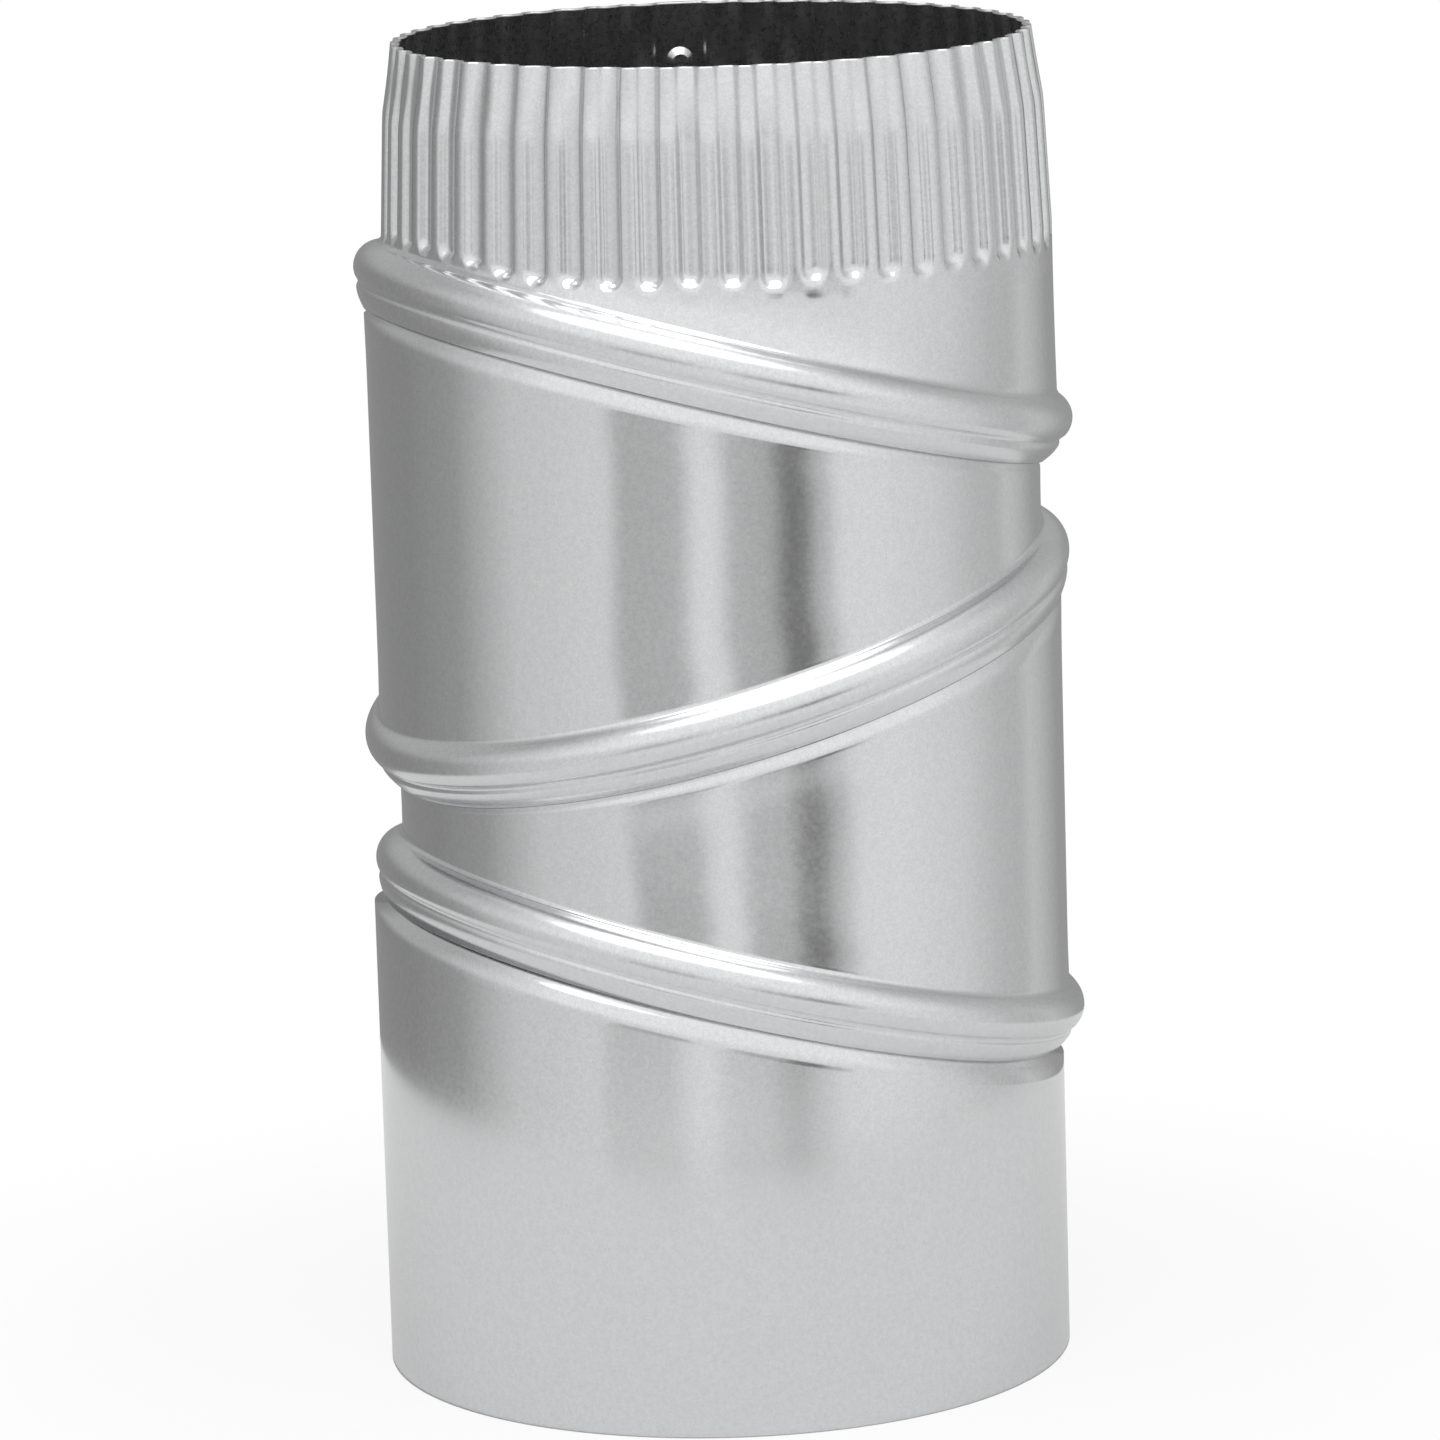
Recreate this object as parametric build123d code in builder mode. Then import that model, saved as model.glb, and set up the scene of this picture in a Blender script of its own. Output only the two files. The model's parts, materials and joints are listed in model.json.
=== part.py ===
from build123d import *

import os
from math import acos, atan2, cos, hypot, radians, sin, sqrt, tan

# Adjustable round duct elbow: four sheet-steel gores that turn on one another at three tilted beads.
# It stands on its plain end, set straight. The origin is the centre of the plain rim, +Z runs up the duct
# and the beads lean in the XZ plane. All sizes are in millimetres and degrees.

# Sheet and duct
sheet = 0.4
bore_diameter = 102.0
gore_step = 1.2
socket_length = 28.0

# Length of each gore's wall where the tilted beads leave it shortest
plain_short_side = 43.3
middle_short_side = 7.3
collar_short_side = 0.3

# Swivel beads: each depth is taken in from the crown's reach, and each drop is below the crown's plane
bead_tilt = 15.0
bead_height = 3.2
crown_radius = 3.8
crown_flats = 4
crown_sweep = 30.0
valley_depth = 1.2
valley_drop = 2.7
roll_depth = 1.15
roll_drop = 3.6
turn_depth = 1.8
turn_drop = 5.0
lip_depth = 2.8
lip_drop = 6.3
neck_gap = 0.4
neck_depth = 0.7
neck_flare = 0.6
nest_wrap = 70.0
running_clearance = 0.36

# Crimped collar
crimp_count = 53
crimp_length = 28.4
crimp_depth = 1.2
crimp_floor = 2.6
crimp_draft = 22.5
crimp_ramp = 3.0
crimp_run = 3.0
crimp_lead = 0.4
crimp_margin = 0.6
collar_step = 1.9
kink_draw = 1.7
rim_draw = 3.1
rim_taper = 10.2

# Lap seam and its rivet
seam_angle = 80.0
seam_lap = 6.0
rivet_drop = 9.0
rivet_shank = 3.0
rivet_tail = 4.2
rivet_tail_flat = 2.4
rivet_tail_height = 1.0
rivet_head = 5.0
rivet_head_flat = 3.0
rivet_head_height = 0.9
rivet_clearance = 0.08

tilt = radians(bead_tilt)
plain_radius = bore_diameter / 2 + sheet
gore_diameter = bore_diameter - gore_step
collar_diameter = gore_diameter - collar_step
kink_diameter = collar_diameter - kink_draw
rim_diameter = kink_diameter - rim_draw
# Rolling turns the ellipse of a gore's slanted cut into a round edge of its mean radius
gore_ring = gore_diameter / 2 * (1 + 1 / cos(tilt)) / 2
crown_centre = gore_ring + bead_height - crown_radius
bead_rise = sqrt(crown_radius**2 - (crown_radius - bead_height) ** 2)
neck_height = lip_drop + neck_gap
neck_drop = neck_height + neck_flare
neck_ring = gore_ring - neck_depth
nest_radius = crown_radius - sheet - running_clearance


def level_plane(x, z):
    """Plane square to the duct, centred on (x, 0, z)."""
    return Plane(origin=(x, 0, z), x_dir=(1, 0, 0), z_dir=(0, 0, 1))


def tilted_plane(x, z, lean):
    """Plane of a bead, centred on (x, 0, z), its normal leaning towards +X for a lean of 1 or -X for -1."""
    across = (cos(tilt), 0, -lean * sin(tilt))
    return Plane(origin=(x, 0, z), x_dir=across, z_dir=(lean * sin(tilt), 0, cos(tilt)))


# Each bead has three planes: the neck below it, its crown, and the shoulder where the wall above starts
middle_span = middle_short_side + 2 * gore_ring * sin(tilt)
lower_neck = tilted_plane(0, plain_short_side + plain_radius * tan(tilt), 1)
lower_crown = lower_neck.offset(neck_drop)
lower_shoulder = lower_crown.offset(bead_rise)
middle_neck = tilted_plane(lower_shoulder.origin.X, lower_shoulder.origin.Z + middle_span, -1)
middle_crown = middle_neck.offset(neck_drop)
middle_shoulder = middle_crown.offset(bead_rise)
upper_neck = tilted_plane(middle_shoulder.origin.X, middle_shoulder.origin.Z + middle_span, 1)
upper_crown = upper_neck.offset(neck_drop)
upper_shoulder = upper_crown.offset(bead_rise)

collar_x = upper_shoulder.origin.X
collar_height = upper_shoulder.origin.Z + gore_ring * sin(tilt) + collar_short_side
rim_height = collar_height + crimp_length
kink_height = rim_height - rim_taper
collar_axis = Axis((collar_x, 0, 0), (0, 0, 1))


def section_plane(crown):
    """Plane through a bead's axis: local X runs out from the axis and local Y along it."""
    return Plane(origin=crown.origin, x_dir=crown.x_dir, z_dir=crown.x_dir.cross(crown.z_dir))


def crown_point(radius, angle):
    """Point of the bead section at a distance and an angle from the crown's centre."""
    return (crown_centre + radius * cos(angle), radius * sin(angle))


def add_plain_wall(inset):
    """Add a thickness of sheet to the plain end, a round socket and then the tube up to its slanted edge."""
    socket_top = level_plane(0, socket_length)
    for depth, mode in ((inset, Mode.ADD), (inset + sheet, Mode.SUBTRACT)):
        radius = plain_radius - depth
        with BuildSketch(level_plane(0, 0)) as rim:
            Circle(radius)
        extrude(rim.sketch, amount=socket_length, mode=mode)
        with BuildSketch(socket_top) as tube:
            Circle(radius)
        with BuildSketch(lower_neck) as edge:
            Ellipse(radius / cos(tilt), radius)
        loft([tube.sketch, edge.sketch], ruled=True, mode=mode)


def add_middle_wall(shoulder, neck, inset):
    """Add a thickness of sheet between two beads, an oval tube that is round at both its slanted edges."""
    outside = gore_ring - inset
    inside = outside - sheet
    with BuildSketch(level_plane(shoulder.origin.X, 0)) as oval:
        Ellipse(outside * cos(tilt), outside)
        Ellipse(inside * cos(tilt), inside, mode=Mode.SUBTRACT)
    extrude(oval.sketch, amount=rim_height)
    split(bisect_by=shoulder, keep=Keep.TOP)
    split(bisect_by=neck, keep=Keep.BOTTOM)


def bead_points():
    """Section of a bead's skin, from the wall above it, over the crown and the lower roll to the lip."""
    start = acos((gore_ring - crown_centre) / crown_radius)
    turn = (start + radians(crown_sweep)) / crown_flats
    crown = [crown_point(crown_radius, start - turn * flat) for flat in range(crown_flats + 1)]
    reach = crown_centre + crown_radius
    roll = [
        (reach - valley_depth, -valley_drop),
        (reach - roll_depth, -roll_drop),
        (reach - turn_depth, -turn_drop),
        (reach - lip_depth, -lip_drop),
    ]
    return [Vector(*point) for point in (*crown, *roll)]


def inset_points(points, inset):
    """Points of a section that runs down the outside, moved in by inset square to its sides."""
    sides = [(end - start).normalized() for start, end in zip(points, points[1:])]
    normals = [Vector(side.Y, -side.X) for side in sides]
    corners = zip(points, (normals[0], *normals), (*normals, normals[-1]))
    return [point + (above + below) * (inset / (1 + above.dot(below))) for point, above, below in corners]


def add_outer_bead(crown):
    """Add the bead at the bottom of a gore, which wraps round the rolled edge of the gore below."""
    skin = bead_points()
    lining = inset_points(skin, sheet)
    inside_corner = (gore_ring - sheet, bead_rise)
    with BuildSketch(section_plane(crown)) as bead:
        with BuildLine():
            Polyline(*skin, *reversed(lining), inside_corner, close=True)
        make_face()
    revolve(bead.sketch, axis=Axis(crown.origin, crown.z_dir))


def nest_points(foot, inset):
    """Section of a rolled top edge, from its foot on the wall out into the bead and up under its crown."""
    radius = nest_radius - inset
    base = [(reach - inset, height) for reach, height in (*foot, (neck_ring, -neck_height))]
    return [*base, crown_point(radius, 0), crown_point(radius, radians(nest_wrap))]


def add_inner_bead(crown, *foot):
    """Add the rolled edge at the top of a gore, which the bead of the gore above wraps round."""
    with BuildSketch(section_plane(crown)) as rolled_edge:
        with BuildLine():
            Polyline(*nest_points(foot, 0), *reversed(nest_points(foot, sheet)), close=True)
        make_face()
    revolve(rolled_edge.sketch, axis=Axis(crown.origin, crown.z_dir))


def add_plain_neck():
    """Draw the plain end's slanted edge, which is an ellipse, in to the round neck of the first bead."""
    for inset, mode in ((0, Mode.ADD), (sheet, Mode.SUBTRACT)):
        radius = plain_radius - inset
        with BuildSketch(lower_neck) as edge:
            Ellipse(radius / cos(tilt), radius)
        with BuildSketch(lower_neck.offset(neck_flare)) as throat:
            Circle(neck_ring - inset)
        loft([edge.sketch, throat.sketch], ruled=True, mode=mode)


def cut_to_seam(x):
    """Keep only the strip of the lap seam's width, on the seam's side of the axis at x."""
    seam = Plane(origin=(x, 0, 0), x_dir=(cos(radians(seam_angle)), sin(radians(seam_angle)), 0))
    with BuildSketch(seam) as strip:
        with Locations((bore_diameter / 2, 0)):
            Rectangle(bore_diameter, seam_lap)
    extrude(strip.sketch, amount=rim_height, mode=Mode.INTERSECT)


# Plain end: a round socket that is drawn in to the neck of the first bead
with BuildPart() as plain_lap:
    add_plain_wall(-sheet)
    cut_to_seam(0)

with BuildPart() as plain_end_gore:
    add_plain_wall(0)
    add_plain_neck()
    add_inner_bead(lower_crown)
    add(plain_lap.part)

plain_end_gore.part.label = "plain_end_gore"

# Middle gores: a bead at the bottom and a rolled edge at the top, leaning opposite ways
middle_foot = (gore_ring, -neck_drop)

with BuildPart() as lower_middle_lap:
    add_middle_wall(lower_shoulder, middle_neck, -sheet)
    cut_to_seam(lower_shoulder.origin.X)

with BuildPart() as lower_middle_gore:
    add_middle_wall(lower_shoulder, middle_neck, 0)
    add_outer_bead(lower_crown)
    add_inner_bead(middle_crown, middle_foot)
    add(lower_middle_lap.part)

lower_middle_gore.part.label = "lower_middle_gore"

with BuildPart() as upper_middle_lap:
    add_middle_wall(middle_shoulder, upper_neck, -sheet)
    cut_to_seam(middle_shoulder.origin.X)

with BuildPart() as upper_middle_gore:
    add_middle_wall(middle_shoulder, upper_neck, 0)
    add_outer_bead(middle_crown)
    add_inner_bead(upper_crown, middle_foot)
    add(upper_middle_lap.part)

upper_middle_gore.part.label = "upper_middle_gore"

# Crimped end: a short wall, then a tapered collar pressed into grooves all round, except at the seam
collar_rings = (
    (collar_height, collar_diameter / 2),
    (kink_height, kink_diameter / 2),
    (rim_height, rim_diameter / 2),
)
rim_slope = atan2(kink_diameter / 2 - rim_diameter / 2, rim_taper)


def add_crimped_body(inset, mode=Mode.ADD):
    """Add or cut the wall above the top bead and the tapered collar as one full body, taken in by inset."""
    with BuildSketch(upper_shoulder) as edge:
        Circle(gore_ring - inset)
    with BuildSketch(level_plane(collar_x, collar_height)) as foot:
        Circle(collar_diameter / 2 - inset)
    loft([edge.sketch, foot.sketch], ruled=True, mode=mode)
    with BuildSketch(Plane.XZ) as section:
        with BuildLine():
            skin = [(collar_x + radius - inset, z) for z, radius in collar_rings]
            Polyline((collar_x, collar_height), *skin, (collar_x, rim_height), close=True)
        make_face()
    revolve(section.sketch, axis=collar_axis, mode=mode)


def groove_stations(angle):
    """Height and floor radius at each section of the groove at an angle, from just outside the skin."""
    turn = radians(angle)
    foot_radius = collar_diameter / 2
    wall_height = collar_short_side + gore_ring * sin(tilt) * (1 + cos(turn))
    wall_run = max(0, min(crimp_run, wall_height - crimp_margin))
    edge_radius = gore_ring / hypot(cos(turn) / cos(tilt), sin(turn))
    start_radius = foot_radius + (edge_radius - foot_radius) * wall_run / wall_height
    ramp_share = (crimp_ramp - wall_run) / (kink_height - collar_height)
    ramp_radius = foot_radius + (kink_diameter / 2 - foot_radius) * ramp_share
    past_rim = crimp_ramp
    past_radius = rim_diameter / 2 - past_rim * tan(rim_slope)
    return (
        (collar_height - wall_run, start_radius + crimp_lead),
        (collar_height - wall_run + crimp_ramp, ramp_radius - crimp_depth),
        (kink_height, kink_diameter / 2 - crimp_depth),
        (rim_height + past_rim, past_radius - crimp_depth),
    )


def groove_body(angle, inset):
    """Solid that fills the groove at an angle, grown by inset on its floor and its sides."""
    draft = radians(crimp_draft)
    floor_half = crimp_floor / 2 + inset * tan(radians(45) - draft / 2)
    mouth_height = 2 * crimp_depth + inset
    mouth_half = floor_half + mouth_height * tan(draft)
    with BuildPart() as groove:
        for z, radius in groove_stations(angle):
            floor = radius - inset
            with BuildSketch(Plane.XY.offset(z)):
                with BuildLine():
                    Polyline(
                        (floor, -floor_half),
                        (floor + mouth_height, -mouth_half),
                        (floor + mouth_height, mouth_half),
                        (floor, floor_half),
                        close=True,
                    )
                make_face()
        loft(ruled=True)
    return Pos(collar_x, 0, 0) * Rot(0, 0, angle) * groove.part


crimp_pitch = 360 / crimp_count
crimp_angles = [seam_angle + crimp_pitch * crimp for crimp in range(1, crimp_count)]

with BuildPart() as crimped_bore:
    add_crimped_body(sheet)
    add([groove_body(angle, sheet) for angle in crimp_angles], mode=Mode.SUBTRACT)

with BuildPart() as crimped_shell:
    add_crimped_body(0)
    add([groove_body(angle, 0) for angle in crimp_angles], mode=Mode.SUBTRACT)
    add(crimped_bore.part, mode=Mode.SUBTRACT)

with BuildPart() as crimped_lap:
    add_crimped_body(-sheet)
    add_crimped_body(0, Mode.SUBTRACT)
    cut_to_seam(collar_x)

# The rivet stands square to the tapered collar, in the middle of the lap
seam_direction = Vector(cos(radians(seam_angle)), sin(radians(seam_angle)), 0)
seam_side = Vector(-sin(radians(seam_angle)), cos(radians(seam_angle)), 0)
rivet_axis = seam_direction * cos(rim_slope) + Vector(0, 0, sin(rim_slope))
rivet_reach = rim_diameter / 2 + rivet_drop * tan(rim_slope)
rivet_point = Vector(collar_x, 0, rim_height - rivet_drop) + seam_direction * rivet_reach
rivet_plane = Plane(origin=rivet_point, z_dir=rivet_axis)

with BuildPart() as crimped_end_gore:
    add(crimped_shell.part)
    add_outer_bead(upper_crown)
    add(crimped_lap.part)
    with BuildSketch(rivet_plane):
        Circle(rivet_shank / 2 + rivet_clearance)
    extrude(amount=rivet_head, both=True, mode=Mode.SUBTRACT)

crimped_end_gore.part.label = "crimped_end_gore"

# Rivet of the lap seam, with its low head outside and its tail set inside
tail_seat = -sheet - rivet_clearance
head_seat = sheet + rivet_clearance

with BuildPart() as seam_rivet:
    with BuildSketch(Plane(origin=rivet_point, x_dir=seam_side, z_dir=seam_side.cross(rivet_axis))):
        with BuildLine():
            Polyline(
                (0, tail_seat - rivet_tail_height),
                (rivet_tail_flat / 2, tail_seat - rivet_tail_height),
                (rivet_tail / 2, tail_seat),
                (rivet_shank / 2, tail_seat),
                (rivet_shank / 2, head_seat),
                (rivet_head / 2, head_seat),
                (rivet_head_flat / 2, head_seat + rivet_head_height),
                (0, head_seat + rivet_head_height),
                close=True,
            )
        make_face()
    revolve(axis=Axis(rivet_point, rivet_axis))

seam_rivet.part.label = "seam_rivet"

os.makedirs("parts", exist_ok=True)
for piece in (plain_end_gore, lower_middle_gore, upper_middle_gore, crimped_end_gore, seam_rivet):
    export_step(piece.part, f"parts/{piece.part.label}.step")
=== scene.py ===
"""Looks of an adjustable duct elbow in galvanised sheet steel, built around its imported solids."""

import json
import logging
import math
import random
from collections.abc import Callable, Sequence
from dataclasses import dataclass, field
from enum import Enum

import bmesh
import bpy
from mathutils import Matrix, Vector


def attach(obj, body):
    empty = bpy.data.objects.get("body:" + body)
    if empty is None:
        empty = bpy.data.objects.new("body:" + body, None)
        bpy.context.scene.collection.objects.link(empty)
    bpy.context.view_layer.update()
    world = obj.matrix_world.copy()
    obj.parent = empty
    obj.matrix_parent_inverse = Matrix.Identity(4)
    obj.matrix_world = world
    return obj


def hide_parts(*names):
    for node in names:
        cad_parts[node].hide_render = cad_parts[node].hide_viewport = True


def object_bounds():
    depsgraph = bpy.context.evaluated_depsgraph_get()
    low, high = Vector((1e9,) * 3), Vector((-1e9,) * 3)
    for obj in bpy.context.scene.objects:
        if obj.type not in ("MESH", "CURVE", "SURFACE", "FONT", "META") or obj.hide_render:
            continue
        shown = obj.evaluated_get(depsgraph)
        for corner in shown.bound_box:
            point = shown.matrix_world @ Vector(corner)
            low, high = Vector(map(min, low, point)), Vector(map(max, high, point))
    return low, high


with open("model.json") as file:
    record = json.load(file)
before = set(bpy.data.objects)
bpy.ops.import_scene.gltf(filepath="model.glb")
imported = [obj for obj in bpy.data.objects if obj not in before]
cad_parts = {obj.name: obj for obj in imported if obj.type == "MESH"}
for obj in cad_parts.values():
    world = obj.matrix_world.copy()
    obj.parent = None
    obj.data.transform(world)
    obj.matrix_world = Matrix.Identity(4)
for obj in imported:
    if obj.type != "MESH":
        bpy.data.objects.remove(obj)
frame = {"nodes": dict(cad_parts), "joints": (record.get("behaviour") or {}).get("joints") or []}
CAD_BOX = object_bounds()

MM = 0.001
FULL_TURN = 360.0
UP = Vector((0.0, 0.0, 1.0))
WORKED = "worked"
CAMERA_RAY = "Is Camera Ray"
LOG = logging.getLogger("duct_elbow")

Colour = tuple[float, float, float]
Span = tuple[float, float]
Spot = tuple[float, float]
Socket = bpy.types.NodeSocket
RingShape = Callable[[float], Vector]
Rings = list[RingShape]

UNIT: Span = (0.0, 1.0)


class Sum(Enum):
    """Sums that a node can work out, by Blender's names for them."""

    ADD = "ADD"
    SUBTRACT = "SUBTRACT"
    MULTIPLY = "MULTIPLY"
    MULTIPLY_ADD = "MULTIPLY_ADD"
    LEAST = "MINIMUM"
    BEARING = "ARCTAN2"


class Blend(Enum):
    """What a node can blend, by Blender's names for it."""

    VALUES = "FLOAT"
    COLOURS = "RGBA"


@dataclass
class Wiring:
    """The nodes of a material or of the world, with short ways to join them."""

    tree: bpy.types.NodeTree

    def feed(self, source: Socket | float | Sequence[float], target: Socket) -> None:
        """Join a socket to a node's input, or set the input to a constant.

        Args:
            source: The socket or the constant.
            target: The input.
        """
        if isinstance(source, Socket):
            self.tree.links.new(source, target)
        else:
            target.default_value = source

    def combine(self, operation: Sum, *values: Socket | float) -> Socket:
        """Work a sum out.

        Args:
            operation: The kind of sum.
            *values: The values that it takes, in order.

        Returns:
            The socket of the result.
        """
        node = self.tree.nodes.new("ShaderNodeMath")
        node.operation = operation.value
        for value, target in zip(values, node.inputs):
            self.feed(value, target)
        return node.outputs["Value"]

    def remap(self, source: Socket, ends: Span, results: Span = UNIT, eased: bool = False) -> Socket:
        """Map a value between two ends to a result between two others.

        Args:
            source: The value.
            ends: The values where the range starts and ends.
            results: The results there.
            eased: Whether the result leaves and reaches its ends softly.

        Returns:
            The socket of the result.
        """
        node = self.tree.nodes.new("ShaderNodeMapRange")
        if eased:
            node.interpolation_type = "SMOOTHSTEP"
        names = ("From Min", "From Max", "To Min", "To Max")
        for name, value in zip(names, (*ends, *results)):
            node.inputs[name].default_value = value
        self.feed(source, node.inputs["Value"])
        return node.outputs["Result"]

    def blend(
        self,
        factor: Socket | float,
        first: Socket | Sequence[float],
        second: Socket | float | Sequence[float],
        kind: Blend = Blend.VALUES,
    ) -> Socket:
        """Blend from one value or colour to another.

        Args:
            factor: The share of the second.
            first: The first.
            second: The second.
            kind: What is blended.

        Returns:
            The socket of the blend.
        """
        node = self.tree.nodes.new("ShaderNodeMix")
        node.data_type = kind.value
        for name, source in (("Factor", factor), ("A", first), ("B", second)):
            self.feed(source, node.inputs[name])
        return node.outputs["Result"]


@dataclass(frozen=True)
class Galvanised:
    """Galvanised sheet: satin zinc with a fine mottled grain, duller where it was rolled or crimped."""

    name: str
    dark_zinc: Colour
    pale_zinc: Colour
    smooth: float
    rough: float
    worked_rough: float = 0.0
    grain_per_metre: float = 3200.0
    mottle_per_metre: float = 1150.0
    grain_share: float = 0.6
    noise_detail: float = 1.0
    noise_span: Span = (0.3, 0.7)

    def noise(self, wiring: Wiring, per_metre: float) -> Socket:
        """Add a noise on the piece's own coordinates, stretched to its full range.

        Args:
            wiring: The material's nodes.
            per_metre: How many grains lie in a metre.

        Returns:
            The socket that gives the noise.
        """
        place = wiring.tree.nodes.new("ShaderNodeTexCoord")
        noise = wiring.tree.nodes.new("ShaderNodeTexNoise")
        noise.inputs["Scale"].default_value = per_metre
        noise.inputs["Detail"].default_value = self.noise_detail
        wiring.feed(place.outputs["Object"], noise.inputs["Vector"])
        return wiring.remap(noise.outputs["Fac"], self.noise_span)

    def material(self) -> bpy.types.Material:
        """Make the material.

        Returns:
            The galvanised material.
        """
        material = bpy.data.materials.new(self.name)
        material.use_nodes = True
        wiring = Wiring(material.node_tree)
        shader = wiring.tree.nodes["Principled BSDF"]
        shader.inputs["Metallic"].default_value = 1.0
        grain = self.noise(wiring, self.grain_per_metre)
        mottle = self.noise(wiring, self.mottle_per_metre)

        speckle = wiring.blend(self.grain_share, mottle, grain)
        zinc = wiring.blend(speckle, (*self.dark_zinc, 1.0), (*self.pale_zinc, 1.0), Blend.COLOURS)
        wiring.feed(zinc, shader.inputs["Base Color"])

        polish = wiring.remap(mottle, UNIT, (self.smooth, self.rough))
        worked = wiring.tree.nodes.new("ShaderNodeAttribute")
        worked.attribute_name = WORKED
        dulled = wiring.combine(Sum.MULTIPLY_ADD, worked.outputs["Fac"], self.worked_rough, polish)
        wiring.feed(dulled, shader.inputs["Roughness"])
        return material


BRIGHT_ZINC = Galvanised("bright_zinc", (0.65, 0.655, 0.665), (0.755, 0.76, 0.765), 0.115, 0.135, 0.085)
# Painted shade: a darker, rougher copy of the same zinc for the sheet's inside faces, standing in for the
# shade inside the duct.
PAINTED_SHADE_ZINC = Galvanised("painted_shade_zinc", (0.49, 0.49, 0.495), (0.54, 0.54, 0.545), 0.26, 0.30)
RIVET_ZINC = Galvanised("rivet_zinc", (0.80, 0.80, 0.80), (0.86, 0.86, 0.86), 0.22, 0.30)


@dataclass(frozen=True)
class SheetSizes:
    """Sizes that the gores share. The roll's knots are depths and drops below the crown, in millimetres."""

    sheet: float = 0.4 * MM
    seam_lap: float = 6.0 * MM
    seam_angle: float = math.radians(80.0)
    gore_diameter: float = 100.8 * MM
    bead_height: float = 3.2 * MM
    crown_radius: float = 3.8 * MM
    crown_relief: float = 0.09 * MM
    crown_above: float = math.radians(73.0)
    crown_below: float = math.radians(30.0)
    crown_steps: int = 16
    roll: tuple[Spot, ...] = ((1.2, 2.7), (1.15, 3.6), (1.8, 5.0), (2.8, 6.3))
    roll_steps: int = 4
    neck_gap: float = 0.4 * MM
    neck_depth: float = 0.7 * MM
    neck_flare: float = 0.6 * MM
    nest_wrap: float = math.radians(70.0)
    nest_steps: int = 4
    running_clearance: float = 0.36 * MM
    fillet: float = 0.7 * MM
    waist: float = 0.1 * MM
    waist_ease: float = 4.5 * MM
    wall_levels: tuple[float, ...] = (
        0.008, 0.016, 0.026, 0.038, 0.054, 0.075, 0.1, 0.13, 0.17, 0.22, 0.28, 0.35,
        0.43, 0.51, 0.59, 0.67, 0.74, 0.80, 0.85, 0.9, 0.95, 1.0,
    )

    @property
    def lip_drop(self) -> float:
        """How far below the crown the rolled lip ends."""
        return self.roll[-1][1] * MM


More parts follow.
